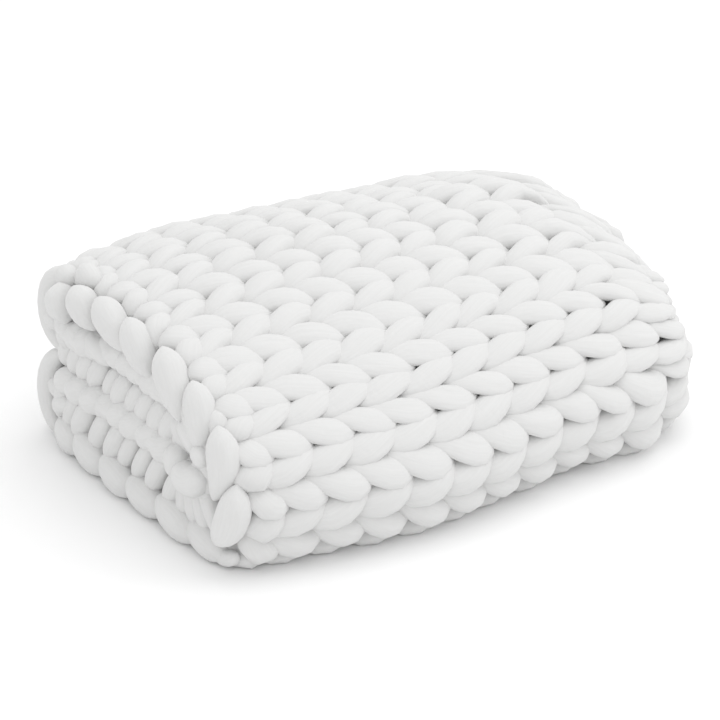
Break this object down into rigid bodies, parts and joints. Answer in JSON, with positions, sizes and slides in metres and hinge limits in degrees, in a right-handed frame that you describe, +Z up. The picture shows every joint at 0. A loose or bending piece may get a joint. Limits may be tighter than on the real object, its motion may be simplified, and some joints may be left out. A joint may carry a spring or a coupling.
{
  "type": "weighted blanket",
  "caption": "Chunky hand-knitted weighted blanket of stuffed tube yarn, folded across its rows and then in half, lying flat with a round fold at the front and at one end.",
  "frame": {"origin": "middle of the folded blanket on the surface that it rests on", "axes": "+X along the folded blanket towards its end fold, +Y from the folded front to the open side edges, +Z up"},
  "size_m": [0.7879, 0.5642, 0.2747],
  "materials": {
    "yarn": "matte off-white brushed cotton tube yarn"
  },
  "bodies": {
    "root": {"blanket": "yarn"}
  },
  "joints": []
}
